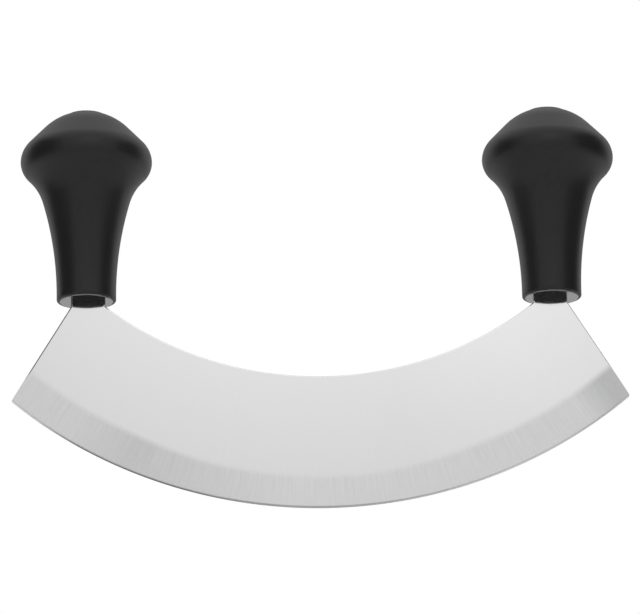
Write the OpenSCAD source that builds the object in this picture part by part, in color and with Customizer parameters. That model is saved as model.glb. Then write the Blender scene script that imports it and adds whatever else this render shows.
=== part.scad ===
// Mezzaluna: a crescent blade rocked by two upright mushroom handles.
// The frame is upright: +Z runs up the handles, X along the chord of the blade and Y through its
// thickness. The origin is the lowest point of the cutting edge.
// Heights inside a handle are measured up from the blade's shoulders, where the bolster sits.

/* [Blade] */
// Length from tip to tip, before the tips are rounded
blade_len = 240; // [236:1:260]
// Radius of the cutting edge
edge_r = 187; // [180:0.5:194]
// Width of the crescent between cutting edge and back
blade_w = 52.4; // [50:0.2:56]
// Thickness of the sheet
blade_t = 2; // [1.4:0.1:3]
// Lean of each end edge away from upright, in degrees
end_lean = 31.5; // [26:0.5:35]
// Height of the shoulders above the lowest point of the edge
shoulder_h = 83.4; // [79:0.2:85.4]
// Length of the straight stem between each horn and its shoulder
stem_l = 2; // [1:0.5:4]
// Radius of the rounded tips
tip_r = 1; // [0.4:0.1:3]
// Width of the ground bevel, on both faces
bevel_w = 14; // [8:0.5:22]
// Width of the honed strip along the cutting edge
hone_w = 0.8; // [0.4:0.1:2]
// Thickness of the blade where the honed strip begins
hone_t = 0.5; // [0.3:0.05:0.9]
// Thickness left at the cutting edge
edge_t = 0.1; // [0.05:0.05:0.25]

/* [Tang] */
// Width of the stub tang above each shoulder
tang_w = 8; // [6:0.5:10]
// Metal taken off each face of the stub tang
tang_step = 0.2; // [0.1:0.05:0.4]
// Length of tang held inside the rod
tang_grip_l = 10; // [6:0.5:11]
// Outward offset of a handle's axis from the middle of its shoulder
handle_offset = 0.7; // [-1:0.1:1.5]

/* [Bolster] */
// Radius of the steel disc that closes the end of a grip
bolster_r = 10.5; // [9.6:0.1:11]
// Thickness of the disc
bolster_t = 3; // [2:0.1:4]
// How far the disc stands out of the grip
bolster_proud = 0.3; // [0.1:0.1:1]
// Broken edge of the disc
bolster_edge = 0.3; // [0.1:0.1:0.6]

/* [Grip] */
// Wall of the grip around the bolster
rim_wall = 1; // [0.8:0.1:2]
// Rounding of the grip's lower rim
rim_round = 0.7; // [0.3:0.1:0.75]
// Height at which the neck is narrowest
waist_h = 2.5; // [2:0.5:8]
// Radius of the long hollow sweep of the neck
sweep_r = 138; // [116:2:200]
// Radius of the throat that runs from the sweep into the knob
throat_r = 24; // [12:0.5:28]
// Radius of the knob at its widest ring
knob_r = 25.8; // [23:0.1:28]
// Height of the widest ring above the shoulders
knob_h = 57.2; // [52:0.2:64]
// Rounding of the knob below its widest ring
knob_low_r = 8; // [5:0.5:11]
// Rounding of the knob above its widest ring
knob_top_r = 9.5; // [8:0.1:12]
// Slope of the straight flank above the rounding, in degrees
flank_slope = 46.5; // [40:0.5:52]
// Radius of the crown
crown_r = 23.5; // [20:0.5:27]

/* [Grip core] */
// Radius of the boss around the rod
boss_r = 6.9; // [6.4:0.1:7.2]
// Wall of the grip around the core pocket
core_wall = 2.3; // [1.8:0.1:2.8]
// Depth of the core pocket above the bolster
core_l = 38; // [24:1:44]
// Number of ribs across the core pocket
rib_count = 4; // [3:1:6]
// Thickness of a rib
rib_t = 1.6; // [1:0.1:2]

/* [Rod and fasteners] */
// Thread diameter of the rod
rod_d = 6; // [5:0.5:6.5]
// Thread pitch
pitch = 1; // [0.8:0.05:1.25]
// Depth of the thread
thread_depth = 0.55; // [0.4:0.05:0.6]
// Length of the thread
thread_l = 14; // [12:1:20]
// Length of thread that stands above the nut
thread_spare = 2.5; // [1:0.5:4]
// Radius of the rod's slotted collar
collar_r = 5; // [4.5:0.1:5.4]
// Size of the collar across its two flats
collar_flats = 7; // [6:0.1:8]
// Length of the collar
collar_l = 13; // [12:0.5:18]
// Outer diameter of the flat washer
washer_d = 12; // [10:0.5:13]
// Thickness of the flat washer
washer_t = 1.6; // [1:0.1:2]
// Outer diameter of the spring washer
spring_d = 11; // [9.5:0.5:12]
// Thickness of the spring washer
spring_t = 1.6; // [1:0.1:2]
// Split in the spring washer
spring_split = 1.2; // [0.6:0.1:2]
// Width of the nut across its flats
nut_flats = 10; // [9:0.5:11]
// Height of the nut
nut_h = 5; // [4:0.5:6.5]

/* [Crown plug] */
// Radius of the plug that closes the crown
plug_r = 7.8; // [7.4:0.1:9]
// Thickness of the plug's head at its rim
plug_t = 2.5; // [1.5:0.1:4]
// How far the plug's rim stands out of the crown
plug_proud = 0.3; // [0.1:0.1:0.8]
// Rise of the plug's dome above its rim
plug_dome = 0.5; // [0.3:0.1:1.2]
// Length of the plug's skirt
skirt_l = 4; // [2:0.5:5]
// Wall of the plug's skirt
skirt_wall = 1.2; // [0.8:0.1:2]
// Radius of the nut pocket in the crown
pocket_r = 7; // [6.8:0.1:7.2]
// Depth of the nut pocket below the plug's ledge
pocket_l = 18; // [17:0.5:24]

/* [Fits] */
// Clearance around the tang in the bolster's slot
slot_gap = 0.1; // [0.05:0.05:0.2]
// Clearance around the bolster in the grip
recess_gap = 0.1; // [0.05:0.05:0.2]
// Clearance around the rod and its collar in the grip
bore_gap = 0.2; // [0.1:0.05:0.3]
// Clearance between the threads of the nut and the rod
thread_gap = 0.06; // [0.04:0.01:0.1]
// Clearance around the rod in the washers
washer_gap = 0.2; // [0.1:0.05:0.4]
// Clearance around the plug and its skirt
plug_gap = 0.05; // [0.03:0.01:0.1]

/* [Hidden] */
// Facets of a whole circle: most rounds, the blade's long arcs and the neck's very long sweep
$fn = 96;
long_fn = 360;
sweep_fn = 720;
// How far a cutter runs past what it cuts
over = 1;
// Heights on a thread's flank, as shares of the pitch, where its crest starts and ends
crest_start = 0.4;
crest_end = 0.6;

// Blade outline, drawn in X and Z
back_r = edge_r - blade_w;
arc_centre = [0, edge_r];
tip_x = blade_len / 2;
tip_z = edge_r - sqrt(edge_r ^ 2 - tip_x ^ 2);
end_out = [cos(end_lean), sin(end_lean)];
end_up = [-sin(end_lean), cos(end_lean)];
horn_h = shoulder_h - stem_l;
shoulder_out = tip_x - tan(end_lean) * (horn_h - tip_z);
shoulder_in = sqrt(back_r ^ 2 - (edge_r - horn_h) ^ 2);
handle_x = (shoulder_out + shoulder_in) / 2 + handle_offset;
tang_t = blade_t - 2 * tang_step;

// Rounded tip: a circle that touches the end edge and the cutting edge from inside
tip_start = [tip_x, tip_z] - tip_r * end_out - arc_centre;
tip_slide = root_near(tip_start, end_up, edge_r - tip_r);
tip_c = arc_centre + tip_start + tip_slide * end_up;
tip_on_end = tip_c + tip_r * end_out;
tip_on_edge = arc_centre + edge_r * unit(tip_c - arc_centre);

// Grip outline, drawn as radius and height
grip_base = bolster_proud;
neck_r = bolster_r + recess_gap + rim_wall;
sweep_c = [neck_r + sweep_r, waist_h];
low_c = [knob_r - knob_low_r, knob_h];
top_c = [knob_r - knob_top_r, knob_h];
throat_c = circles_meet(sweep_c, sweep_r - throat_r, low_c, knob_low_r + throat_r);
sweep_top = sweep_c + sweep_r * unit(throat_c - sweep_c);
throat_top = low_c + knob_low_r * unit(throat_c - low_c);
flank_out = [sin(flank_slope), cos(flank_slope)];
flank_low = top_c + knob_top_r * flank_out;
crown_c = [0, (flank_low * flank_out - crown_r) / flank_out.y];
flank_top = crown_c + crown_r * flank_out;
crown_h = crown_c.y + crown_r;

// Heights inside the handle
core_r = neck_r - core_wall;
plug_rim_h = crown_c.y + sqrt(crown_r ^ 2 - plug_r ^ 2) + plug_proud;
ledge_h = plug_rim_h - plug_t;
seat_h = ledge_h - pocket_l;
spring_h = seat_h + washer_t;
nut_base_h = spring_h + spring_t;
rod_top_h = nut_base_h + nut_h + thread_spare;
thread_base_h = rod_top_h - thread_l;
collar_top_h = bolster_t + collar_l;
rod_bore_r = rod_d / 2 + bore_gap;
dome_r = (plug_r ^ 2 + plug_dome ^ 2) / (2 * plug_dome);

// Unit vector along v
function unit(v) = v / norm(v);

// Distance to slide from start along the unit vector dir until the point is r away from the
// point that start is measured from, taking the nearest stop ahead
function root_near(start, dir, r) =
    let (b = start * dir, c = start * start - r ^ 2)
    c < 0 ? -b + sqrt(b ^ 2 - c) : -b - sqrt(b ^ 2 - c);

// Where two circles meet, on the left of the way from the first centre to the second
function circles_meet(first, first_r, second, second_r) =
    let (
        apart = norm(second - first),
        way = (second - first) / apart,
        along = (apart ^ 2 + first_r ^ 2 - second_r ^ 2) / (2 * apart)
    )
    first + along * way + sqrt(first_r ^ 2 - along ^ 2) * [-way.y, way.x];

// Saw-tooth outline of the thread from base_h to top_h, grown outward by gap
function thread_points(gap) =
    let (turns = floor(thread_l / pitch), r = rod_d / 2 + gap)
    [
        for (i = [0:turns - 1]) each [
            [r - thread_depth, thread_base_h + i * pitch],
            [r, thread_base_h + (i + crest_start) * pitch],
            [r, thread_base_h + (i + crest_end) * pitch]
        ],
        [r - thread_depth, thread_base_h + turns * pitch],
        [r - thread_depth, rod_top_h],
        [0, rod_top_h],
        [0, thread_base_h]
    ];

// Places a right handle's piece, or its mirror image on the left
module on_right() translate([handle_x, 0, shoulder_h]) children();
module on_left() mirror([1, 0, 0]) on_right() children();

// A flat ring lying from height h upward
module ring(outer_r, inner_r, t, h) {
    translate([0, 0, h]) difference() {
        cylinder(r = outer_r, h = t);
        translate([0, 0, -over]) cylinder(r = inner_r, h = t + 2 * over);
    }
}

// Crescent between the two end edges, with a straight stem on each horn
module blade_outline() {
    foot_x = shoulder_out + tan(end_lean) * (horn_h + over);
    difference() {
        intersection() {
            translate(arc_centre) circle(r = edge_r, $fn = long_fn);
            polygon([
                [-shoulder_out, horn_h], [shoulder_out, horn_h], [foot_x, -over], [-foot_x, -over]
            ]);
        }
        translate(arc_centre) circle(r = back_r, $fn = long_fn);
        tip_trim();
        mirror([1, 0]) tip_trim();
    }
    stem_outline();
    mirror([1, 0]) stem_outline();
}

module stem_outline() {
    translate([shoulder_in, horn_h - over]) square([shoulder_out - shoulder_in, stem_l + over]);
}

// What the rounded tip takes off the corner
module tip_trim() {
    difference() {
        polygon([tip_on_end, tip_c, tip_on_edge, [tip_x, tip_z] + tip_r * end_out]);
        translate(tip_c) circle(r = tip_r);
    }
}

// Full section of the sheet turned about the arc's centre: flat, bevel, honed strip, edge
module ground_disc() {
    half = [
        [0, blade_t / 2],
        [edge_r - bevel_w, blade_t / 2],
        [edge_r - hone_w, hone_t / 2],
        [edge_r, edge_t / 2]
    ];
    flipped = [for (i = [len(half) - 1:-1:0]) [half[i].x, -half[i].y]];
    translate([0, 0, edge_r]) rotate([90, 0, 0]) rotate_extrude($fn = long_fn)
        polygon(concat(half, flipped));
}

module stub_tang() {
    inside = 3 * blade_t;
    translate([-tang_w / 2, -tang_t / 2, -inside])
        cube([tang_w, tang_t, inside + bolster_t + tang_grip_l]);
}

module blade() {
    color("gainsboro") union() {
        intersection() {
            rotate([90, 0, 0]) linear_extrude(blade_t + 2 * over, center = true) blade_outline();
            ground_disc();
        }
        on_right() stub_tang();
        on_left() stub_tang();
    }
}

// Disc with a slot for the tang and a broken edge on the side that shows
module bolster() {
    slot_w = tang_w + 2 * slot_gap;
    slot_t = tang_t + 2 * slot_gap;
    color("silver") difference() {
        union() {
            cylinder(r1 = bolster_r - bolster_edge, r2 = bolster_r, h = bolster_edge);
            translate([0, 0, bolster_edge]) cylinder(r = bolster_r, h = bolster_t - bolster_edge);
        }
        translate([-slot_w / 2, -slot_t / 2, -over]) cube([slot_w, slot_t, bolster_t + 2 * over]);
    }
}

// Collar section with its two flats, grown by gap
module collar_outline(gap) {
    intersection() {
        circle(r = collar_r + gap);
        square([3 * collar_r, collar_flats + 2 * gap], center = true);
    }
}

// Slotted collar, plain shank and threaded end
module tang_rod() {
    color("darkgray") difference() {
        union() {
            translate([0, 0, bolster_t]) linear_extrude(collar_l) collar_outline(0);
            cylinder_between(rod_d / 2, bolster_t + tang_grip_l, thread_base_h);
            rotate_extrude() polygon(thread_points(0));
        }
        translate([-2 * collar_r, -tang_t / 2, 0])
            cube([4 * collar_r, tang_t, bolster_t + tang_grip_l]);
    }
}

module cylinder_between(r, low, high) {
    translate([0, 0, low]) cylinder(r = r, h = high - low);
}

// Outer outline of the grip: rounded rim, swept neck, throat, knob and crown
module grip_outline() {
    rim_c = [neck_r - rim_round, grip_base + rim_round];
    difference() {
        union() {
            polygon([
                [0, grip_base], [rim_c.x, grip_base], rim_c, [neck_r, rim_c.y], [neck_r, waist_h],
                sweep_top, throat_top, [knob_r, knob_h], flank_low, flank_top, [0, crown_h]
            ]);
            translate(rim_c) circle(r = rim_round);
            intersection() {
                translate(low_c) circle(r = knob_low_r);
                translate([low_c.x, 0]) square([knob_low_r, knob_h]);
            }
            intersection() {
                translate(top_c) circle(r = knob_top_r);
                translate(top_c) square([knob_top_r, knob_top_r]);
            }
            intersection() {
                translate(crown_c) circle(r = crown_r);
                translate([0, flank_top.y]) square([flank_top.x, crown_h - flank_top.y]);
            }
        }
        intersection() {
            translate(sweep_c) circle(r = sweep_r, $fn = sweep_fn);
            translate([0, waist_h]) square([knob_r, sweep_top.y - waist_h]);
        }
        translate(throat_c) circle(r = throat_r);
    }
}

// Half section of the grip with all that is turned: recess, rod bore, nut pocket and plug seat
module grip_section() {
    difference() {
        grip_outline();
        square([bolster_r + recess_gap, bolster_t]);
        square([rod_bore_r, crown_h + over]);
        translate([0, seat_h]) square([pocket_r, crown_h]);
        translate([0, ledge_h]) square([plug_r + plug_gap, crown_h]);
    }
}

// Ring-shaped hollow around the boss, crossed by the ribs
module core_pocket() {
    low = bolster_t - over;
    difference() {
        ring(core_r, boss_r, core_l + over, low);
        for (i = [0:rib_count - 1]) rotate([0, 0, (i + 0.5) * 360 / rib_count])
            translate([0, -rib_t / 2, low]) cube([core_r + over, rib_t, core_l + 2 * over]);
    }
}

module grip() {
    color("#2b2b2c") difference() {
        rotate_extrude() grip_section();
        core_pocket();
        linear_extrude(collar_top_h + bore_gap) collar_outline(bore_gap);
    }
}

module washer() color("lightgray") ring(washer_d / 2, rod_d / 2 + washer_gap, washer_t, seat_h);

module spring_washer() {
    color("lightgray") difference() {
        ring(spring_d / 2, rod_d / 2 + washer_gap, spring_t, spring_h);
        translate([0, -spring_split / 2, spring_h - over])
            cube([spring_d, spring_split, spring_t + 2 * over]);
    }
}

// Hexagon with its corners turned down, threaded onto the rod
module nut() {
    corner_r = nut_flats / sqrt(3);
    turned = corner_r - nut_flats / 2;
    color("lightgray") difference() {
        intersection() {
            translate([0, 0, nut_base_h]) cylinder(r = corner_r, h = nut_h, $fn = 6);
            translate([0, 0, nut_base_h]) union() {
                cylinder(r1 = nut_flats / 2, r2 = corner_r, h = turned / 2);
                translate([0, 0, turned / 2]) cylinder(r = corner_r + over, h = nut_h - turned);
                translate([0, 0, nut_h - turned / 2])
                    cylinder(r1 = corner_r, r2 = nut_flats / 2, h = turned / 2);
            }
        }
        rotate_extrude() polygon(thread_points(thread_gap));
    }
}

// Domed head on the ledge in the crown, with a hollow skirt below it
module crown_plug() {
    color("#303031") union() {
        intersection() {
            translate([0, 0, ledge_h]) cylinder(r = plug_r, h = plug_t + plug_dome);
            translate([0, 0, plug_rim_h + plug_dome - dome_r]) sphere(r = dome_r, $fn = long_fn);
        }
        ring(pocket_r - plug_gap, pocket_r - plug_gap - skirt_wall, skirt_l + over / 2, ledge_h - skirt_l);
    }
}

module bolster_left() on_left() bolster();
module bolster_right() on_right() bolster();
module tang_rod_left() on_left() tang_rod();
module tang_rod_right() on_right() tang_rod();
module grip_left() on_left() grip();
module grip_right() on_right() grip();
module washer_left() on_left() washer();
module washer_right() on_right() washer();
module spring_washer_left() on_left() spring_washer();
module spring_washer_right() on_right() spring_washer();
module nut_left() on_left() nut();
module nut_right() on_right() nut();
module crown_plug_left() on_left() crown_plug();
module crown_plug_right() on_right() crown_plug();

blade();
bolster_left();
bolster_right();
tang_rod_left();
tang_rod_right();
grip_left();
grip_right();
washer_left();
washer_right();
spring_washer_left();
spring_washer_right();
nut_left();
nut_right();
crown_plug_left();
crown_plug_right();
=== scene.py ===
# %% [markdown]
# A mezzaluna is a crescent of ground stainless steel that two upright handles rock to and fro.
# Its solids were drawn and packed before, and they are the frame of this scene: nothing here
# moves them. Each piece that shows gets a finer mesh over its solid, with small rounds that
# catch the light, and each finish gets a material worked out from how it is made.
# The knife stands upright: X along the blade, Y through it, Z up the handles. The origin is the
# lowest point of the cutting edge, and everything is in metres.

# %% Load the frame
import math

import bmesh
import bpy
from mathutils import Matrix, Vector
from mathutils.geometry import intersect_sphere_sphere_2d


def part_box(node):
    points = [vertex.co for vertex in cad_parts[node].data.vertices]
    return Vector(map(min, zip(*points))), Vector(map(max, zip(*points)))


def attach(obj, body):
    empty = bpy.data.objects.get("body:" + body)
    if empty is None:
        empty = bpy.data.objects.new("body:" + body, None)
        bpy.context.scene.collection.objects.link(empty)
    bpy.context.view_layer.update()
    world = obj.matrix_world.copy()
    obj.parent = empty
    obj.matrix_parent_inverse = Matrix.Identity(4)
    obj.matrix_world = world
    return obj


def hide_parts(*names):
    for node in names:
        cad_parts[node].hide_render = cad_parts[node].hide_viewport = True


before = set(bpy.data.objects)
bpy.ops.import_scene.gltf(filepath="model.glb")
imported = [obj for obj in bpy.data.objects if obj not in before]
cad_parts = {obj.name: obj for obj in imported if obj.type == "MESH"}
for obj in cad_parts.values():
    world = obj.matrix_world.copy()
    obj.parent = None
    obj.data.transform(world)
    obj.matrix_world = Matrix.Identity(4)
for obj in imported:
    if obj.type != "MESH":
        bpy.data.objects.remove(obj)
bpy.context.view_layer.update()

print("nodes:", sorted(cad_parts))

# %% [markdown]
# The places of the handles, the shoulders of the blade, the discs and the crowns are read from
# the boxes of the solids, so the new pieces follow them. What a box can't tell, such as the
# radius of a round, is written here once as a real size.

# %% Read places and sizes
MM = 0.001
blade_low, blade_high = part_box("blade")
disc_low, disc_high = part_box("bolster_right")
grip_low, grip_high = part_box("grip_right")
plug_low, plug_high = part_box("crown_plug_right")

HANDLE_X = (disc_low.x + disc_high.x) / 2
SHOULDER_Z = disc_low.z
DISC_R = (disc_high.x - disc_low.x) / 2
DISC_T = disc_high.z - disc_low.z
KNOB_R = (grip_high.x - grip_low.x) / 2
PLUG_R = (plug_high.x - plug_low.x) / 2
SHEET_T = blade_high.y - blade_low.y
SIDES = {"left": -HANDLE_X, "right": HANDLE_X}
print(f"handles at x = +-{HANDLE_X / MM:.2f} mm, shoulders at z = {SHOULDER_Z / MM:.2f} mm")

# %% [markdown]
# Helpers for the meshes. An arc of an outline is a vertex spun about the arc's centre, and a
# straight run is a vertex extruded. An outline is drawn in the plane y = 0 as radius and height,
# and then the whole wire is spun about the axis of a handle, as on a lathe.

# %% Draw outlines
FRONT = Vector((0, -1, 0))


def run_to(bm, vert, point):
    """Draws a straight run from a vertex to a point (radius, height)."""
    out = bmesh.ops.extrude_vert_indiv(bm, verts=[vert])["verts"][0]
    out.co = Vector((point[0], 0, point[1]))
    return out


def turn_to(bm, vert, centre, point, steps):
    """Draws an arc about a centre, from a vertex until it lies in the direction of a point."""
    start = Vector((vert.co.x - centre[0], vert.co.z - centre[1]))
    end = Vector((point[0] - centre[0], point[1] - centre[1]))
    angle = math.atan2(start.x * end.y - start.y * end.x, start.dot(end))
    made = bmesh.ops.spin(
        bm, geom=[vert], cent=(centre[0], 0, centre[1]), axis=FRONT, angle=angle,
        steps=steps, use_merge=False, use_normal_flip=False, use_duplicate=False,
    )
    return next(g for g in made["geom_last"] if isinstance(g, bmesh.types.BMVert))


def break_corners(bm, verts, size, segments):
    """Rounds some corners of a flat outline."""
    bmesh.ops.bevel(
        bm, geom=verts, offset=size, offset_type="OFFSET", segments=segments, profile=0.5,
        affect="VERTICES", material=-1,
    )


def lathe(bm, x, steps):
    """Turns the drawn wire once round the upright axis at x, and closes poles and seam."""
    bmesh.ops.translate(bm, verts=bm.verts[:], vec=(x, 0, SHOULDER_Z))
    bmesh.ops.spin(
        bm, geom=bm.verts[:] + bm.edges[:], cent=(x, 0, 0), axis=(0, 0, 1),
        angle=math.tau, steps=steps, use_merge=True, use_normal_flip=False, use_duplicate=False,
    )
    bmesh.ops.remove_doubles(bm, verts=bm.verts[:], dist=0.0001 * MM)


print("outlines are drawn with spins and extrusions")

# %% [markdown]
# Every finished mesh is closed, its faces point outwards, and it rides on the one body that the
# knife has. Edges that turn by more than a given angle stay crisp, and the others are shaded as
# one smooth surface.

# %% Finish a piece
def finish_piece(bm, name, materials, node, crisp=30):
    """Makes an object of a bmesh, in place of one solid."""
    bmesh.ops.recalc_face_normals(bm, faces=bm.faces[:])
    for face in bm.faces:
        face.smooth = True
    for edge in bm.edges:
        edge.smooth = edge.calc_face_angle(0) < math.radians(crisp)
    open_edges = sum(1 for edge in bm.edges if len(edge.link_faces) != 2)
    volume = bm.calc_volume() / MM**3
    mesh = bpy.data.meshes.new(name)
    bm.to_mesh(mesh)
    bm.free()
    for material in materials:
        mesh.materials.append(material)
    piece = bpy.data.objects.new(name, mesh)
    bpy.context.scene.collection.objects.link(piece)
    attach(piece, "root")
    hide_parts(node)
    print(f"{name}: {len(mesh.polygons)} faces, {open_edges} open edges, {volume:.0f} mm3")


# %% [markdown]
# Helpers for the materials. Colours are written as the sRGB hex values that a colour picker
# shows, and one function turns them to the linear values that the shaders use. One function adds
# a node with its settings and links, and one starts a material from what it is made of.

# %% Make materials
def linear(code):
    """Linear red, green, blue and alpha of an sRGB hex colour."""
    shares = [int(code[i:i + 2], 16) / 255 for i in (0, 2, 4)]
    return [s / 12.92 if s <= 0.04045 else ((s + 0.055) / 1.055) ** 2.4 for s in shares] + [1]


def add_node(tree, kind, inputs=None, stops=(), **settings):
    """Adds a node with its settings and links.

    Inputs maps a socket to a value or to the output of another node. Stops are the positions and
    sRGB hex colours of a colour ramp.
    """
    node = tree.nodes.new(kind)
    for name, value in settings.items():
        setattr(node, name, value)
    for socket, value in (inputs or {}).items():
        if isinstance(value, bpy.types.NodeSocket):
            tree.links.new(value, node.inputs[socket])
        else:
            node.inputs[socket].default_value = value
    if stops:
        elements = node.color_ramp.elements
        while len(elements) < len(stops):
            elements.new(0.5)
        for element, (position, code) in zip(elements, stops):
            element.position = position
            element.color = linear(code)
    return node


def new_material(name, **shader):
    """A material with one Principled shader, and that shader."""
    material = bpy.data.materials.new(name)
    material.use_nodes = True
    tree = material.node_tree
    tree.nodes.clear()
    inputs = {socket.replace("_", " "): value for socket, value in shader.items()}
    surface = add_node(tree, "ShaderNodeBsdfPrincipled", inputs)
    add_node(tree, "ShaderNodeOutputMaterial", {"Surface": surface.outputs[0]})
    return material, tree, surface


GRIP_BLACK = "1E1E1F"
print("black moulding colour in linear values:", [round(v, 4) for v in linear(GRIP_BLACK)])

# %% [markdown]
# The blade is one 2 mm sheet: flat over most of its width, with a 14 mm bevel ground on both
# faces and a narrow honed strip along the cutting edge. It could be a flat outline given a
# thickness, but then the grind would need its own surface. Here the section across the sheet is
# drawn once and swept about the centre of the edge's arc, as the grinder sweeps it, and planes
# saw the rest of the outline from the ring.

# %% Blade sizes
EDGE_R = 187 * MM
BLADE_W = 52.4 * MM
BEVEL_W = 14 * MM
HONE_W = 0.8 * MM
HONE_T = 0.5 * MM
EDGE_T = 0.1 * MM
END_LEAN = math.radians(31.5)
STEM_L = 2 * MM
TIP_R = 1 * MM
EDGE_BREAK = 0.35 * MM
END_BREAKS = {-1: 0.6 * MM, 1: 0.35 * MM}
GRIND_BLEND = 1.8 * MM
TANG_W = 8 * MM
TANG_T = 1.6 * MM
SWEEP = math.radians(96)

ARC_CENTRE = Vector((0, 0, EDGE_R))
tip_x = blade_high.x - TIP_R
TIP_CENTRE = Vector((tip_x, 0, EDGE_R - math.sqrt((EDGE_R - TIP_R) ** 2 - tip_x**2)))
print("centre of the right tip's round, mm:", [round(v / MM, 2) for v in TIP_CENTRE])

# %% [markdown]
# The section is one face with eight corners. The two at the back are broken by a third of a
# millimetre, and the two where the grind starts get a long soft round, because a wheel leaves no
# sharp line there. A spin about the centre of the arc then draws the face out into the ring.

# %% Sweep the section
def blade_section(bm):
    """The cut through the middle of the crescent, one face in the plane x = 0."""
    half = [
        (EDGE_R - BLADE_W, SHEET_T / 2),
        (EDGE_R - BEVEL_W, SHEET_T / 2),
        (EDGE_R - HONE_W, HONE_T / 2),
        (EDGE_R, EDGE_T / 2),
    ]
    round_trip = [(r, -y) for r, y in half] + [(r, y) for r, y in reversed(half)]
    verts = [bm.verts.new((0, y, EDGE_R - r)) for r, y in round_trip]
    bm.faces.new(verts)
    back, grind = (verts[0], verts[-1]), (verts[1], verts[-2])
    break_corners(bm, back, EDGE_BREAK, 3)
    break_corners(bm, grind, GRIND_BLEND, 6)


def sweep_section(bm, steps):
    """Turns the section about the centre of the edge's arc, half to each side."""
    bmesh.ops.rotate(
        bm, verts=bm.verts[:], cent=ARC_CENTRE, matrix=Matrix.Rotation(-SWEEP / 2, 3, "Y")
    )
    bmesh.ops.spin(
        bm, geom=bm.faces[:] + bm.edges[:] + bm.verts[:], cent=ARC_CENTRE, axis=(0, 1, 0),
        angle=SWEEP, steps=steps, use_merge=False, use_normal_flip=False, use_duplicate=False,
    )


blade_mesh = bmesh.new()
blade_section(blade_mesh)
sweep_section(blade_mesh, steps=240)
print("the swept ring has", len(blade_mesh.faces), "faces")

# %% [markdown]
# Planes saw the tops of the horns and the leaning ends from the ring, and each cut is closed with
# a new face, so that the mesh stays solid. The broken edges of an end and the round of its tip
# are fans of planes about one line, because a bevel would also take the edges next to them. The
# left end is broken a little wider than the right one, as in the photograph.

# %% Saw the outline
def saw(bm, point, outward):
    """Takes off all that lies on the outward side of a plane and closes the cut."""
    geom = bm.verts[:] + bm.edges[:] + bm.faces[:]
    cut = bmesh.ops.bisect_plane(
        bm, geom=geom, dist=0.00001 * MM, plane_co=point, plane_no=outward, clear_outer=True
    )
    edges = [g for g in cut["geom_cut"] if isinstance(g, bmesh.types.BMEdge)]
    bmesh.ops.holes_fill(bm, edges=edges, sides=0)


def direction(side, up, across=0.0):
    """Unit vector that leans up from the side's X and across to a face of the sheet."""
    flat = math.cos(across)
    return Vector((side * math.cos(up) * flat, math.sin(across), math.sin(up) * flat))


def saw_end(bm, side):
    """One end: the leaning cut, its two broken edges and the rounded tip."""
    tip = Vector((side * TIP_CENTRE.x, 0, TIP_CENTRE.z))
    broken = END_BREAKS[side]
    outward = direction(side, END_LEAN)
    saw(bm, tip + TIP_R * outward, outward)
    for face in (-1, 1):
        middle = tip + (TIP_R - broken) * outward
        middle.y = face * (SHEET_T / 2 - broken)
        for share in (0.25, 0.5, 0.75):
            slant = direction(side, END_LEAN, face * share * math.pi / 2)
            saw(bm, middle + broken * slant, slant)
    down = math.atan2(TIP_CENTRE.z - ARC_CENTRE.z, TIP_CENTRE.x)
    facets = 7
    for i in range(1, facets):
        slant = direction(side, END_LEAN + (down - END_LEAN) * i / facets)
        saw(bm, tip + TIP_R * slant, slant)


saw(blade_mesh, (0, 0, SHOULDER_Z - STEM_L), (0, 0, 1))
saw_end(blade_mesh, -1)
saw_end(blade_mesh, 1)
print("the sawn crescent has", len(blade_mesh.faces), "faces")

# %% [markdown]
# Each horn goes on upward as a short straight stem to its shoulder, so its flat top is drawn up
# by the stem's length. The tang is cut from the same sheet: four planes mark its outline on the
# shoulder, and the face between them is drawn up into the handle.

# %% Raise stems and tangs
def flat_tops(bm, z):
    """The level faces at a height."""
    return [
        f for f in bm.faces
        if abs(f.normal.z) > 0.99 and abs(f.calc_center_median().z - z) < 0.01 * MM
    ]


def raise_face(bm, face, height):
    """Draws a face straight up, so that it doesn't stay behind as a wall inside."""
    made = bmesh.ops.extrude_face_region(bm, geom=[face, *face.edges])["geom"]
    top = [g for g in made if isinstance(g, bmesh.types.BMVert)]
    bmesh.ops.translate(bm, verts=top, vec=(0, 0, height))


def raise_tang(bm, x):
    """Marks out a rectangle on the shoulder at x and draws it up into the handle."""
    lines = [((x + s * TANG_W / 2, 0, 0), (1, 0, 0)) for s in (-1, 1)]
    lines += [((0, s * TANG_T / 2, 0), (0, 1, 0)) for s in (-1, 1)]
    for point, across in lines:
        faces = flat_tops(bm, SHOULDER_Z)
        geom = list({g for f in faces for g in (*f.verts, *f.edges)}) + faces
        bmesh.ops.bisect_plane(
            bm, geom=geom, dist=0.00001 * MM, plane_co=point, plane_no=across
        )
    for face in flat_tops(bm, SHOULDER_Z):
        middle = face.calc_center_median()
        if abs(middle.x - x) < TANG_W / 2 and abs(middle.y) < TANG_T / 2:
            raise_face(bm, face, blade_high.z - SHOULDER_Z)


for horn_top in flat_tops(blade_mesh, SHOULDER_Z - STEM_L):
    raise_face(blade_mesh, horn_top, STEM_L)
for tang_x in SIDES.values():
    raise_tang(blade_mesh, tang_x)
print("the blade with its tangs has", len(blade_mesh.faces), "faces")

# %% [markdown]
# The sheet is stainless steel, polished almost to a mirror, with hair-fine lines that run across
# the blade. The bevel is ground by a coarser wheel, so it looks a little greyer, and its marks
# point at the centre of the arc too. The lines could come from a picture, but two stretched
# noises need only the distance from the centre of the arc and the length along it, which the
# shader works out from Object coordinates. Real scratches are a few hundredths of a millimetre
# apart, too fine to show from here, so both noises are drawn coarser.

# %% Marks on the blade
# Marks per millimetre of the arc, and per millimetre towards its centre
BELT_MARKS = (4, 0.05)
WHEEL_MARKS = (1.4, 0.06)
HALF_ARC = 130


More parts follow.
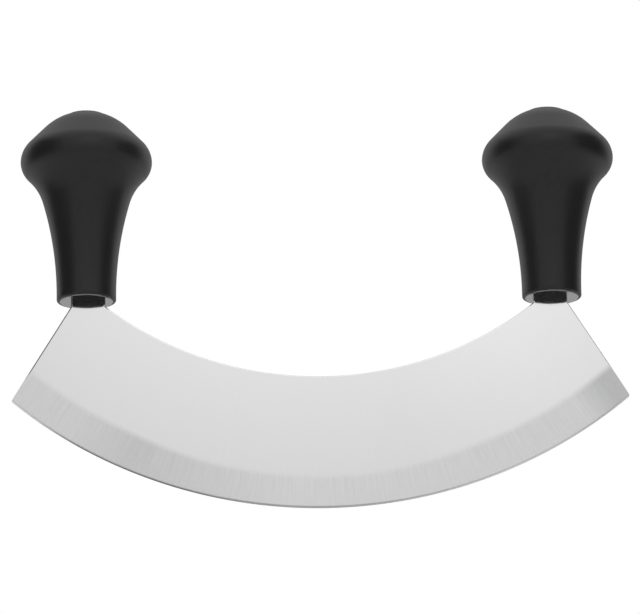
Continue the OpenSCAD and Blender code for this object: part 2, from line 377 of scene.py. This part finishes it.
def from_arc_centre(tree):
    """Distance from the arc's centre and length along the arc in mm, and the share from 0 to 1."""
    place = add_node(tree, "ShaderNodeTexCoord").outputs["Object"]
    moved = add_node(
        tree, "ShaderNodeMapping",
        {"Vector": place, "Location": (0, 0, -EDGE_R / MM), "Scale": (1 / MM, 0, 1 / MM)},
    )
    radius = add_node(tree, "ShaderNodeVectorMath", {0: moved.outputs[0]}, operation="LENGTH")
    split = add_node(tree, "ShaderNodeSeparateXYZ", {0: moved.outputs[0]})
    down = add_node(
        tree, "ShaderNodeMath", {0: split.outputs["Z"], 1: -1}, operation="MULTIPLY"
    )
    angle = add_node(
        tree, "ShaderNodeMath", {0: split.outputs["X"], 1: down.outputs[0]}, operation="ARCTAN2"
    )
    along = add_node(
        tree, "ShaderNodeMath", {0: angle.outputs[0], 1: EDGE_R / MM}, operation="MULTIPLY"
    )
    share = add_node(
        tree, "ShaderNodeMapRange",
        {"Value": along.outputs[0], "From Min": -HALF_ARC, "From Max": HALF_ARC},
    )
    return radius.outputs["Value"], along.outputs[0], share.outputs[0]


def grinding_marks(tree, radius, along, marks, detail):
    """Fine marks that point at the centre of the arc."""
    lines = add_node(tree, "ShaderNodeCombineXYZ", {"X": along, "Y": radius})
    drawn_out = add_node(
        tree, "ShaderNodeMapping", {"Vector": lines.outputs[0], "Scale": (*marks, 1)}
    )
    noise = add_node(
        tree, "ShaderNodeTexNoise",
        {"Vector": drawn_out.outputs[0], "Scale": 1.0, "Detail": detail}, noise_dimensions="2D",
    )
    return noise.outputs["Fac"]


print(f"the arc is measured to {HALF_ARC} mm on either side of its lowest point")

# %% [markdown]
# The knife is ground and honed by hand, so the border of the bevel is soft and lies up to 2 mm
# lower in the middle than at the ends. The honed strip shows as a line half a millimetre high
# at the edge itself. The narrow broken edges all round were only deburred, so they are duller,
# and their darker tone is a painted shade that draws the outline. They are the faces whose
# normal leaves the Y axis, and those at the left end get a darker painted shade still. Each of
# these areas is a mask in the one material, so that it needs no mesh of its own.

# %% Areas of the blade
# Distances from the centre of the arc are in millimetres. A fade is where a mask starts and ends.
BACK_R = (EDGE_R - BLADE_W) / MM
GRIND_R = (EDGE_R - BEVEL_W) / MM
GRIND_WANDER = 1.8
GRIND_WANDERS = [(0.19, "000000"), (0.32, "DCDCDC"), (0.57, "FFFFFF"), (0.76, "000000")]
GRIND_FADE = (GRIND_R - 1.6, GRIND_R + 1.8)
STRIP_W = 0.47
STRIP_R = EDGE_R / MM - STRIP_W
STRIP_FADE = (STRIP_R - 0.1, STRIP_R + 0.1)
# How squarely a face looks along Y: 1 is a flat side of the sheet, and 0 is its rim
BROKEN_FADE = (0.985, 0.9)
SLANT_FADE = (0.15, 0.4)
# Share of the arc's length, from the left tip
LEFT_END_FADE = (0.03, 0.01)


def ground_areas(tree, radius, share):
    """Masks of the bevel and of the honed strip."""
    wander = add_node(tree, "ShaderNodeValToRGB", {"Fac": share}, stops=GRIND_WANDERS)
    moved = add_node(
        tree, "ShaderNodeMath", {0: wander.outputs[0], 1: -GRIND_WANDER, 2: radius},
        operation="MULTIPLY_ADD",
    )
    bevel = add_node(
        tree, "ShaderNodeMapRange",
        {"Value": moved.outputs[0], "From Min": GRIND_FADE[0], "From Max": GRIND_FADE[1]},
        interpolation_type="SMOOTHSTEP",
    )
    strip = add_node(
        tree, "ShaderNodeMapRange",
        {"Value": radius, "From Min": STRIP_FADE[0], "From Max": STRIP_FADE[1]},
    )
    return bevel.outputs[0], strip.outputs[0]


def broken_edges(tree, share):
    """Masks of the broken edges all round, and of the left end's edges, which get a painted shade.
    """
    normal = add_node(tree, "ShaderNodeTexCoord").outputs["Normal"]
    across = add_node(tree, "ShaderNodeSeparateXYZ", {0: normal}).outputs["Y"]
    square = add_node(tree, "ShaderNodeMath", {0: across}, operation="ABSOLUTE").outputs[0]
    masks = []
    for value, (start, end) in (
        (square, BROKEN_FADE), (square, SLANT_FADE), (share, LEFT_END_FADE)
    ):
        mask = add_node(
            tree, "ShaderNodeMapRange", {"Value": value, "From Min": start, "From Max": end}
        )
        masks.append(mask.outputs[0])
    broken, slanted, left = masks
    left_end_shade = broken
    for mask in (slanted, left):
        both = add_node(tree, "ShaderNodeMath", {0: left_end_shade, 1: mask}, operation="MULTIPLY")
        left_end_shade = both.outputs[0]
    return broken, left_end_shade


print(f"the bevel starts {GRIND_R:.1f} mm from the centre, and the strip {STRIP_R:.2f} mm")

# %% [markdown]
# The tones change along the arc, each area with a short ramp from the left tip to the right
# one, and these changes are painted reflection and shade on the steel. The flat also gets
# darker towards the bevel, a painted shade. The marks lighten and darken the tone by a few
# percent, and a faint bump breaks up what the steel mirrors.

# %% Blade finish
# Each area's tone along the arc, from the left tip: the steel's own tone with painted reflection
# and shade
FLAT_TONES = [(0.65, "DADADA"), (0.9, "E1E1E1")]
BEVEL_TONES = [
    (0.1, "C9C9CA"), (0.2, "C0C0C1"), (0.45, "CFCFD0"), (0.93, "CBCBCC"), (0.98, "B6B6B7")
]
# The honed strip: a dark line of painted shade, lighter at the ends, with a painted highlight at
# the left tip
STRIP_TONES = [
    (0, "FFFFFF"), (0.05, "DADADB"), (0.12, "737475"), (0.28, "737475"), (0.46, "D6D6D7"),
    (0.8, "E6E6E7"), (0.93, "CECECF"),
]
# Broken edges: their dark tone is a painted shade along the outline, lighter at the right end as a
# painted highlight
BROKEN_TONES = [(0.97, "8C8D8F"), (0.99, "C4C5C6")]
# Painted shade on the left end's broken edges, and a darker tint of what they mirror
LEFT_END_PAINTED_SHADE = "626364"
LEFT_END_SHADE_TINT = "888888"
# Levels of the flat at its back and at the bevel, a painted shade, and how far the marks change a
# tone
FLAT_SHADE = (1.05, 0.955)
BELT_DEPTH = (0.98, 1.02)
WHEEL_DEPTH = (0.93, 1.07)
FLAT_ROUGH = 0.1
GROUND_ROUGH = 0.25


def area_tone(tree, share, tones, changes):
    """The tones of one area along the arc, times levels (value, from, to, first, last)."""
    tone = add_node(tree, "ShaderNodeValToRGB", {"Fac": share}, stops=tones).outputs[0]
    for value, start, end, first, last in changes:
        level = add_node(
            tree, "ShaderNodeMapRange",
            {"Value": value, "From Min": start, "From Max": end, "To Min": first, "To Max": last},
        )
        changed = add_node(
            tree, "ShaderNodeVectorMath", {0: tone, "Scale": level.outputs[0]},
            operation="SCALE",
        )
        tone = changed.outputs[0]
    return tone


def ground_steel():
    """Stainless sheet: fine belt polish, wheel-ground bevel, honed strip, deburred edges, and
    painted reflection and shade in their tones.
    """
    material, tree, surface = new_material("ground_stainless_sheet", Metallic=1.0)
    radius, along, share = from_arc_centre(tree)
    bevel, strip = ground_areas(tree, radius, share)
    broken, left_end_shade = broken_edges(tree, share)
    belt = grinding_marks(tree, radius, along, BELT_MARKS, detail=3.0)
    wheel = grinding_marks(tree, radius, along, WHEEL_MARKS, detail=4.0)

    across = (radius, BACK_R, GRIND_R, *FLAT_SHADE)
    tone = area_tone(tree, share, FLAT_TONES, [across, (belt, 0, 1, *BELT_DEPTH)])
    bevel_tone = area_tone(tree, share, BEVEL_TONES, [(wheel, 0, 1, *WHEEL_DEPTH)])
    strip_tone = area_tone(tree, share, STRIP_TONES, [])
    broken_tone = area_tone(tree, share, BROKEN_TONES, [])
    edge_tone = add_node(
        tree, "ShaderNodeMix", {"Factor": left_end_shade, 6: broken_tone, 7: linear(LEFT_END_PAINTED_SHADE)},
        data_type="RGBA",
    )
    for mask, layer in ((bevel, bevel_tone), (strip, strip_tone), (broken, edge_tone.outputs[2])):
        laid = add_node(
            tree, "ShaderNodeMix", {"Factor": mask, 6: tone, 7: layer}, data_type="RGBA"
        )
        tone = laid.outputs[2]
    tree.links.new(tone, surface.inputs["Base Color"])
    # The left end's edges also mirror darker, more painted shade
    tint = add_node(
        tree, "ShaderNodeMix",
        {"Factor": left_end_shade, 6: linear("FFFFFF"), 7: linear(LEFT_END_SHADE_TINT)}, data_type="RGBA",
    )
    tree.links.new(tint.outputs[2], surface.inputs["Specular Tint"])

    dull = add_node(tree, "ShaderNodeMath", {0: bevel, 1: broken}, operation="MAXIMUM")
    rough = add_node(
        tree, "ShaderNodeMapRange",
        {"Value": dull.outputs[0], "To Min": FLAT_ROUGH, "To Max": GROUND_ROUGH},
    )
    tree.links.new(rough.outputs[0], surface.inputs["Roughness"])
    marks = add_node(
        tree, "ShaderNodeMix", {"Factor": bevel, 2: belt, 3: wheel}, data_type="FLOAT"
    )
    bump = add_node(
        tree, "ShaderNodeBump",
        {"Height": marks.outputs[0], "Strength": 0.1, "Distance": 0.01 * MM},
    )
    tree.links.new(bump.outputs[0], surface.inputs["Normal"])
    return material


finish_piece(
    blade_mesh, "ground_blade", [ground_steel()], "blade", crisp=8
)

# %% [markdown]
# The disc at the foot of each handle is a turned and polished bolster with a slot for the tang.
# It could be spun like the grip, but the slot isn't round. So a filled circle is drawn up to its
# thickness, its rims are rounded, planes mark out the slot on both flat sides, and the two
# openings are bridged.

# %% Bolsters
SLOT_GAP = 0.1 * MM
RIM_BREAK = 0.45 * MM


def bolster_mesh(x):
    """Disc with rounded rims and a through slot."""
    bm = bmesh.new()
    bmesh.ops.create_circle(
        bm, cap_ends=True, segments=128, radius=DISC_R,
        matrix=Matrix.Translation((x, 0, SHOULDER_Z)),
    )
    made = bmesh.ops.extrude_face_region(bm, geom=bm.faces[:])["geom"]
    top = [g for g in made if isinstance(g, bmesh.types.BMVert)]
    bmesh.ops.translate(bm, verts=top, vec=(0, 0, DISC_T))
    rims = [e for e in bm.edges if abs(e.verts[0].co.z - e.verts[1].co.z) < DISC_T / 2]
    bmesh.ops.bevel(
        bm, geom=rims, offset=RIM_BREAK, offset_type="OFFSET", segments=3, profile=0.5,
        affect="EDGES", material=-1,
    )
    half_w, half_t = TANG_W / 2 + SLOT_GAP, TANG_T / 2 + SLOT_GAP
    lines = [((x + s * half_w, 0, 0), (1, 0, 0)) for s in (-1, 1)]
    lines += [((0, s * half_t, 0), (0, 1, 0)) for s in (-1, 1)]
    for point, across in lines:
        geom = bm.verts[:] + bm.edges[:] + bm.faces[:]
        bmesh.ops.bisect_plane(
            bm, geom=geom, dist=0.00001 * MM, plane_co=point, plane_no=across
        )
    inside = [
        f for f in bm.faces
        if abs(f.calc_center_median().x - x) < half_w / 2
        and abs(f.calc_center_median().y) < half_t / 2
    ]
    openings = [e for f in inside for e in f.edges]
    bmesh.ops.delete(bm, geom=inside, context="FACES_ONLY")
    bmesh.ops.bridge_loops(bm, edges=openings)
    return bm


# %% [markdown]
# Polished stainless mirrors what is around it, and only the last pass of the polishing wheel
# shows, as very fine rings about the axis. Both handles share the material, because it measures
# from whichever axis is nearer.

# %% Bolster finish
def from_handle_axis(tree):
    """Vector from the nearer handle's axis, in millimetres, and its length in the XY plane."""
    place = add_node(tree, "ShaderNodeTexCoord").outputs["Object"]
    mirrored = add_node(tree, "ShaderNodeVectorMath", {0: place}, operation="ABSOLUTE")
    moved = add_node(
        tree, "ShaderNodeMapping",
        {
            "Vector": mirrored.outputs[0],
            "Location": (-HANDLE_X / MM, 0, -SHOULDER_Z / MM),
            "Scale": (1 / MM, 1 / MM, 1 / MM),
        },
    )
    flat = add_node(
        tree, "ShaderNodeVectorMath", {0: moved.outputs[0], 1: (1, 1, 0)}, operation="MULTIPLY"
    )
    radius = add_node(tree, "ShaderNodeVectorMath", {0: flat.outputs[0]}, operation="LENGTH")
    return moved.outputs[0], radius.outputs["Value"]


def polished_steel():
    """Turned and polished stainless, with faint rings."""
    material, tree, surface = new_material(
        "polished_stainless", Metallic=1.0, Base_Color=linear("7A7B7C")
    )
    radius = from_handle_axis(tree)[1]
    rings = add_node(
        tree, "ShaderNodeTexNoise", {"W": radius, "Scale": 3.0, "Detail": 3.0},
        noise_dimensions="1D",
    )
    rough = add_node(
        tree, "ShaderNodeMapRange",
        {"Value": rings.outputs["Fac"], "To Min": 0.05, "To Max": 0.14},
    )
    tree.links.new(rough.outputs[0], surface.inputs["Roughness"])
    bump = add_node(
        tree, "ShaderNodeBump",
        {"Height": rings.outputs["Fac"], "Strength": 0.1, "Distance": 0.01 * MM},
    )
    tree.links.new(bump.outputs[0], surface.inputs["Normal"])
    return material


disc_steel = polished_steel()
for side, disc_x in SIDES.items():
    finish_piece(
        bolster_mesh(disc_x), f"slotted_bolster_{side}", [disc_steel],
        f"bolster_{side}", crisp=10,
    )

# %% [markdown]
# The grips are moulded in one piece and round all the way, so they are turned like a chess pawn:
# the outline runs from the rim up the hollow neck, through the throat, round the knob and over
# the crown to the seat of the plug, and back down inside through the nut pocket, the rod's bore
# and the recess of the bolster. Neighbouring arcs touch without a kink, because each centre lies
# on the line through the end of the arc before it.

# %% Grip outline
RIM_WALL = 1 * MM
RIM_ROUND = 0.7 * MM
RECESS_GAP = 0.1 * MM
WAIST_H = 2.5 * MM
NECK_SWEEP_R = 138 * MM
THROAT_R = 24 * MM
RING_H = 57.2 * MM
KNOB_LOW_R = 8 * MM
KNOB_TOP_R = 9.5 * MM
FLANK_SLOPE = math.radians(46.5)
CROWN_R = 23.5 * MM
SEAT_GAP = 0.05 * MM
POCKET_R = 7 * MM
POCKET_L = 18 * MM
BORE_R = 3.2 * MM
COLLAR_R = 5.2 * MM
COLLAR_TOP_H = 16.2 * MM
SEAT_BREAK = 0.15 * MM

PLUG_T = 2.5 * MM
PLUG_DOME = 0.5 * MM

GRIP_FOOT_H = grip_low.z - SHOULDER_Z
PLUG_RIM_H = plug_high.z - SHOULDER_Z - PLUG_DOME
LEDGE_H = PLUG_RIM_H - PLUG_T
print(f"the grip's foot is {GRIP_FOOT_H / MM:.2f} mm above the shoulders")


def meet(centre_a, radius_a, centre_b, radius_b):
    """Where two circles meet: the point that is lower."""
    return min(
        intersect_sphere_sphere_2d(centre_a, radius_a, centre_b, radius_b), key=lambda p: p.y
    )


def grip_wire(bm):
    """Closed outline of the grip, as radius and height above the shoulders."""
    recess_r = DISC_R + RECESS_GAP
    neck_r = recess_r + RIM_WALL
    rim = Vector((neck_r - RIM_ROUND, GRIP_FOOT_H + RIM_ROUND))
    sweep = Vector((neck_r + NECK_SWEEP_R, WAIST_H))
    low = Vector((KNOB_R - KNOB_LOW_R, RING_H))
    top = Vector((KNOB_R - KNOB_TOP_R, RING_H))
    throat = meet(sweep, NECK_SWEEP_R - THROAT_R, low, KNOB_LOW_R + THROAT_R)
    flank = Vector((math.sin(FLANK_SLOPE), math.cos(FLANK_SLOPE)))
    flank_low = top + KNOB_TOP_R * flank
    crown = Vector((0, (flank_low.dot(flank) - CROWN_R) / flank.y))
    seat_r = PLUG_R + SEAT_GAP
    seat_top = crown.y + math.sqrt(CROWN_R**2 - seat_r**2)
    vert = start = bm.verts.new((recess_r, 0, GRIP_FOOT_H))
    vert = run_to(bm, vert, (rim.x, GRIP_FOOT_H))
    vert = turn_to(bm, vert, rim, (neck_r, rim.y), 6)
    vert = run_to(bm, vert, (neck_r, WAIST_H))
    vert = turn_to(bm, vert, sweep, throat, 30)
    vert = turn_to(bm, vert, throat, low, 20)
    vert = turn_to(bm, vert, low, (KNOB_R, RING_H), 10)
    vert = turn_to(bm, vert, top, flank_low, 14)
    vert = run_to(bm, vert, crown + CROWN_R * flank)
    vert = turn_to(bm, vert, crown, (seat_r, seat_top), 10)
    seat = vert
    for point in (
        (seat_r, LEDGE_H), (POCKET_R, LEDGE_H), (POCKET_R, LEDGE_H - POCKET_L),
        (BORE_R, LEDGE_H - POCKET_L), (BORE_R, COLLAR_TOP_H), (COLLAR_R, COLLAR_TOP_H),
        (COLLAR_R, DISC_T), (recess_r, DISC_T),
    ):
        vert = run_to(bm, vert, point)
    bm.edges.new((vert, start))
    return seat


print(f"the ring of the knob is {RING_H / MM:.1f} mm above the shoulders")

# %% [markdown]
# The outline is closed, so one full turn about the handle's axis makes a solid body with its
# hollows. Only the mouth of the plug's seat still needs its corner broken first.

# %% Turn the grips
def grip_mesh(x):
    """Turned grip on the axis at x."""
    bm = bmesh.new()
    seat = grip_wire(bm)
    break_corners(bm, [seat], SEAT_BREAK, 2)
    lathe(bm, x, steps=144)
    return bm


# %% [markdown]
# Black glass-filled nylon from a spark-eroded mould has a fine grain that spreads the highlights
# into a satin sheen. The grain is about a tenth of a millimetre, too fine to show at this
# distance, so its bump is drawn a little coarser. The plastic is nearly black, and what the eye
# sees is mostly the pale room mirrored faintly. Towards the silhouette the sheen grows, but less
# than on a smooth surface, because the grain shadows itself there.

# %% Grip finish
SHADOWED_FROM = 0.45


def moulded_black(name, code, specular, rough, grazing):
    """Black moulding with a grain that shadows a share of the sheen at grazing angles."""
    material, tree, surface = new_material(
        name, Base_Color=linear(code), Specular_IOR_Level=specular
    )
    vector = from_handle_axis(tree)[0]
    grain = add_node(
        tree, "ShaderNodeTexNoise", {"Vector": vector, "Scale": 3.0, "Detail": 2.0}
    )
    wear = add_node(
        tree, "ShaderNodeTexNoise", {"Vector": vector, "Scale": 0.06, "Detail": 3.0}
    )
    worn = add_node(
        tree, "ShaderNodeMapRange",
        {"Value": wear.outputs["Fac"], "To Min": rough - 0.04, "To Max": rough + 0.04},
    )
    tree.links.new(worn.outputs[0], surface.inputs["Roughness"])
    bump = add_node(
        tree, "ShaderNodeBump",
        {"Height": grain.outputs["Fac"], "Strength": 0.2, "Distance": 0.02 * MM},
    )
    tree.links.new(bump.outputs[0], surface.inputs["Normal"])
    output = next(n for n in tree.nodes if n.type == "OUTPUT_MATERIAL")
    facing = add_node(tree, "ShaderNodeLayerWeight", {"Blend": 0.5}).outputs["Facing"]
    shadowed = add_node(
        tree, "ShaderNodeMapRange",
        {"Value": facing, "From Min": SHADOWED_FROM, "To Max": grazing},
    )
    matt = add_node(tree, "ShaderNodeBsdfDiffuse", {"Color": linear(code)})
    mixed = add_node(
        tree, "ShaderNodeMixShader",
        {0: shadowed.outputs[0], 1: surface.outputs[0], 2: matt.outputs[0]},
    )
    tree.links.new(mixed.outputs[0], output.inputs["Surface"])
    return material


grip_plastic = moulded_black(
    "satin_black_nylon", GRIP_BLACK, specular=0.26, rough=0.38, grazing=0.6
)
for side, grip_x in SIDES.items():
    finish_piece(
        grip_mesh(grip_x), f"turned_grip_{side}", [grip_plastic], f"grip_{side}"
    )

# %% [markdown]
# A pressed-in plug closes the crown over the nut. It is a shallow dome with a rounded rim and a
# hollow skirt below, turned in the same way. It stands a hair proud, so its rim shows as a fine
# line round the top of the crown. Its mould was polished, so it shines more than the grip.

# %% Crown plugs
SKIRT_L = 4 * MM
SKIRT_WALL = 1.2 * MM
PLUG_BREAK = 0.25 * MM


def plug_mesh(x):
    """Domed plug with its skirt, on the axis at x."""
    bm = bmesh.new()
    dome_r = (PLUG_R**2 + PLUG_DOME**2) / (2 * PLUG_DOME)
    dome = Vector((0, PLUG_RIM_H + PLUG_DOME - dome_r))
    skirt_r = POCKET_R - SEAT_GAP
    vert = bm.verts.new((0, 0, PLUG_RIM_H + PLUG_DOME))
    rim = vert = turn_to(bm, vert, dome, (PLUG_R, PLUG_RIM_H), 12)
    for point in (
        (PLUG_R, LEDGE_H), (skirt_r, LEDGE_H), (skirt_r, LEDGE_H - SKIRT_L),
        (skirt_r - SKIRT_WALL, LEDGE_H - SKIRT_L), (skirt_r - SKIRT_WALL, LEDGE_H),
        (0, LEDGE_H),
    ):
        vert = run_to(bm, vert, point)
    break_corners(bm, [rim], PLUG_BREAK, 4)
    lathe(bm, x, steps=96)
    return bm


plug_plastic = moulded_black(
    "polished_black_plug", "2B2B2C", specular=0.5, rough=0.15, grazing=0.0
)
for side, plug_x in SIDES.items():
    finish_piece(
        plug_mesh(plug_x), f"domed_plug_{side}", [plug_plastic],
        f"crown_plug_{side}",
    )

# %% [markdown]
# The rod, washers and nut are closed in by the grip, and their solids are right as they are.
# They keep their meshes and get their real finishes: turned steel with the lathe's fine feed
# marks, and bright zinc plate with its slightly uneven sheen.

# %% Hidden steel
def turned_steel():
    """Turned mild steel with feed marks across the axis."""
    material, tree, surface = new_material(
        "turned_steel", Metallic=1.0, Base_Color=linear("A9AAAD")
    )
    vector = from_handle_axis(tree)[0]
    height = add_node(tree, "ShaderNodeSeparateXYZ", {0: vector}).outputs["Z"]
    feed = add_node(
        tree, "ShaderNodeTexNoise", {"W": height, "Scale": 6.0, "Detail": 2.0},
        noise_dimensions="1D",
    )
    rough = add_node(
        tree, "ShaderNodeMapRange",
        {"Value": feed.outputs["Fac"], "To Min": 0.3, "To Max": 0.45},
    )
    tree.links.new(rough.outputs[0], surface.inputs["Roughness"])
    return material


def zinc_plate():
    """Bright zinc plate, a little uneven."""
    material, tree, surface = new_material("bright_zinc_plate", Metallic=1.0)
    vector = from_handle_axis(tree)[0]
    patches = add_node(
        tree, "ShaderNodeTexNoise", {"Vector": vector, "Scale": 0.5, "Detail": 4.0}
    )
    tone = add_node(
        tree, "ShaderNodeValToRGB", {"Fac": patches.outputs["Fac"]},
        stops=[(0, "BEC2C8"), (1, "D3D6DA")],
    )
    tree.links.new(tone.outputs[0], surface.inputs["Base Color"])
    rough = add_node(
        tree, "ShaderNodeMapRange",
        {"Value": patches.outputs["Fac"], "To Min": 0.25, "To Max": 0.4},
    )
    tree.links.new(rough.outputs[0], surface.inputs["Roughness"])
    return material


rod_steel, zinc = turned_steel(), zinc_plate()
for name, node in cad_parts.items():
    kind = name.rsplit("_", 1)[0]
    if kind in ("tang_rod", "washer", "spring_washer", "nut"):
        node.data.materials.clear()
        node.data.materials.append(rod_steel if kind == "tang_rod" else zinc)
        print(name, "is", node.data.materials[0].name)

# %% [markdown]
# The knife stands on a plain pale floor. The photograph looks up at it from below that floor, so
# the floor lets the camera look through its underside and is solid for everything else: seen
# from above it is there, with the knife's shadow on it, and far away it fades into the white.

# %% Floor
FLOOR_W = 12.0
FLOOR_FADE = (0.35, 2.2)


def floor_material():
    """Matt pale grey that fades out far away, clear for a camera below it."""
    material, tree, surface = new_material(
        "pale_floor", Base_Color=linear("F2F2F1"), Roughness=0.9, Specular_IOR_Level=0.1
    )
    output = next(n for n in tree.nodes if n.type == "OUTPUT_MATERIAL")
    clear = add_node(tree, "ShaderNodeBsdfTransparent")
    below = add_node(tree, "ShaderNodeNewGeometry").outputs["Backfacing"]
    seen = add_node(tree, "ShaderNodeLightPath").outputs["Is Camera Ray"]
    place = add_node(tree, "ShaderNodeTexCoord").outputs["Object"]
    away = add_node(tree, "ShaderNodeVectorMath", {0: place}, operation="LENGTH")
    faded = add_node(
        tree, "ShaderNodeMapRange",
        {"Value": away.outputs["Value"], "From Min": FLOOR_FADE[0], "From Max": FLOOR_FADE[1]},
        interpolation_type="SMOOTHSTEP",
    )
    gone = add_node(tree, "ShaderNodeMath", {0: below, 1: faded.outputs[0]}, operation="MAXIMUM")
    unseen = add_node(tree, "ShaderNodeMath", {0: gone.outputs[0], 1: seen}, operation="MULTIPLY")
    mixed = add_node(
        tree, "ShaderNodeMixShader",
        {0: unseen.outputs[0], 1: surface.outputs[0], 2: clear.outputs[0]},
    )
    tree.links.new(mixed.outputs[0], output.inputs["Surface"])
    return material


def stage_plane(name, size, place, material):
    """A flat square that isn't part of the knife."""
    bm = bmesh.new()
    bmesh.ops.create_grid(
        bm, x_segments=1, y_segments=1, size=size / 2, matrix=Matrix.Translation(place)
    )
    mesh = bpy.data.meshes.new(name)
    bm.to_mesh(mesh)
    bm.free()
    mesh.materials.append(material)
    plane = bpy.data.objects.new(name, mesh)
    bpy.context.scene.collection.objects.link(plane)
    return plane


stage_plane("pale_floor", FLOOR_W, (0, 0, 0), floor_material())
print("the floor is", FLOOR_W, "m wide")

# %% [markdown]
# In a product picture a dark card lies on the table in front of shiny steel, out of view, so
# that the bolster discs have something dark to mirror, and one stands on either side, so that
# the black necks get their dark flanks. The cards show in reflections only, and the low one only
# in what has been mirrored twice, in a disc and then in the blade. So the blade seen from the
# front stays clear of it.

# %% Dark cards
LOW_CARD_L = 0.28
LOW_CARD_PLACE = (0, -0.34, 1 * MM)
WING_W = 0.6
WING_PLACE = Vector((0.5, -0.1, 0.3))


def card_material(name, bounces):
    """Matt dark grey that is clear for light that has been mirrored less often than this."""
    material, tree, surface = new_material(
        name, Base_Color=linear("3C3C3C"), Roughness=1.0, Specular_IOR_Level=0.0
    )
    output = next(n for n in tree.nodes if n.type == "OUTPUT_MATERIAL")
    mirrored = add_node(tree, "ShaderNodeLightPath").outputs["Ray Depth"]
    early = add_node(
        tree, "ShaderNodeMath", {0: mirrored, 1: bounces - 0.5}, operation="LESS_THAN"
    )
    clear = add_node(tree, "ShaderNodeBsdfTransparent")
    mixed = add_node(
        tree, "ShaderNodeMixShader",
        {0: early.outputs[0], 1: surface.outputs[0], 2: clear.outputs[0]},
    )
    tree.links.new(mixed.outputs[0], output.inputs["Surface"])
    return material


low_card = stage_plane(
    "low_card", LOW_CARD_L, LOW_CARD_PLACE, card_material("low_dark_card", 2)
)
low_card.scale.x = 2
wing_material = card_material("side_dark_card", 1)
wings = [stage_plane(f"wing_{side}", WING_W, (0, 0, 0), wing_material) for side in SIDES]
for wing, side in zip(wings, (-1, 1)):
    wing.location = (side * WING_PLACE.x, WING_PLACE.y, WING_PLACE.z)
    wing.rotation_euler = (0, math.radians(90), 0)
for card in (low_card, *wings):
    card.visible_camera = False
    card.visible_diffuse = False
    card.visible_shadow = False
    card.visible_transmission = False
near, far = (LOW_CARD_PLACE[1] + s * LOW_CARD_L / 2 for s in (1, -1))
print(f"the low card reaches from y = {near:.2f} m to y = {far:.2f} m")

# %% [markdown]
# The room is white for the camera and for reflections, as in a light tent, and a softer white
# lights the matt surfaces. A wide lamp overhead gives the floor its soft shadow, a fainter one in
# its place shows in reflections and gives the crowns their sheen, and a smaller one high in front
# gives each neck a faint upright band.

# %% World and lamps
ABOVE = (0, 0.35, 1.7)
ABOVE_W = 1.6
IN_FRONT = (0.1, -1.5, 1.1)
IN_FRONT_W = 0.7
KNIFE_MIDDLE = (0, 0, 0.08)
NECKS = (0, 0, 0.1)

world = bpy.data.worlds.new("white_tent")
bpy.context.scene.world = world
world.use_nodes = True
sky = world.node_tree
sky.nodes.clear()
path = add_node(sky, "ShaderNodeLightPath")
seen = path.outputs["Is Camera Ray"]
for ray in ("Is Glossy Ray", "Is Transmission Ray"):
    either = add_node(sky, "ShaderNodeMath", {0: seen, 1: path.outputs[ray]}, operation="MAXIMUM")
    seen = either.outputs[0]
soft = add_node(sky, "ShaderNodeBackground", {"Color": linear("FFFFFF"), "Strength": 0.6})
white = add_node(sky, "ShaderNodeBackground", {"Color": linear("FFFFFF"), "Strength": 1.0})
tent = add_node(
    sky, "ShaderNodeMixShader",
    {0: seen, 1: soft.outputs[0], 2: white.outputs[0]},
)
add_node(sky, "ShaderNodeOutputWorld", {"Surface": tent.outputs[0]})


def lamp(name, place, target, size, watts):
    """A square soft lamp that points at a target."""
    light = bpy.data.lights.new(name, "AREA")
    light.size, light.energy = size, watts
    body = bpy.data.objects.new(name, light)
    body.location = place
    body.rotation_euler = (Vector(target) - Vector(place)).to_track_quat("-Z", "Y").to_euler()
    bpy.context.scene.collection.objects.link(body)
    return body


overhead = lamp("overhead", ABOVE, KNIFE_MIDDLE, ABOVE_W, watts=13)
overhead.visible_glossy = False
sheen = lamp("sheen", ABOVE, KNIFE_MIDDLE, ABOVE_W, watts=10)
sheen.visible_diffuse = False
lamp("front", IN_FRONT, NECKS, IN_FRONT_W, watts=1.5)

# %% [markdown]
# The camera stands far off with a long lens and looks up at the knife by about 16 degrees. It is
# turned and rolled by a degree or so, as the photograph is. A focal length of 4200 pixels on a
# picture 640 pixels wide is 236 mm on a sensor of 36 mm.

# %% Camera
PICTURE_W = 640
SENSOR_W = 36
FOCAL_PIXELS = 4200
LOOK_UP = math.radians(16.43)
YAW = math.radians(1.5)
ROLL = math.radians(-0.96)
DISTANCE = 1638 * MM
AIM = Vector((0.16, 0, 80.66)) * MM

forward = Vector((
    math.sin(YAW) * math.cos(LOOK_UP), math.cos(YAW) * math.cos(LOOK_UP), math.sin(LOOK_UP)
))
level = Vector((math.cos(YAW), -math.sin(YAW), 0))
upright = level.cross(forward)
right = math.cos(ROLL) * level + math.sin(ROLL) * upright
up = math.cos(ROLL) * upright - math.sin(ROLL) * level
lens = bpy.data.cameras.new("camera")
lens.sensor_width = SENSOR_W
lens.lens = FOCAL_PIXELS / PICTURE_W * lens.sensor_width
lens.clip_start = 0.1
camera = bpy.data.objects.new("camera", lens)
camera.matrix_world = (
    Matrix.Translation(AIM - DISTANCE * forward)
    @ Matrix((right, up, -forward)).transposed().to_4x4()
)
bpy.context.scene.collection.objects.link(camera)
bpy.context.scene.camera = camera
bpy.context.scene.view_settings.view_transform = "Standard"
print("camera at", [round(v, 3) for v in camera.location])
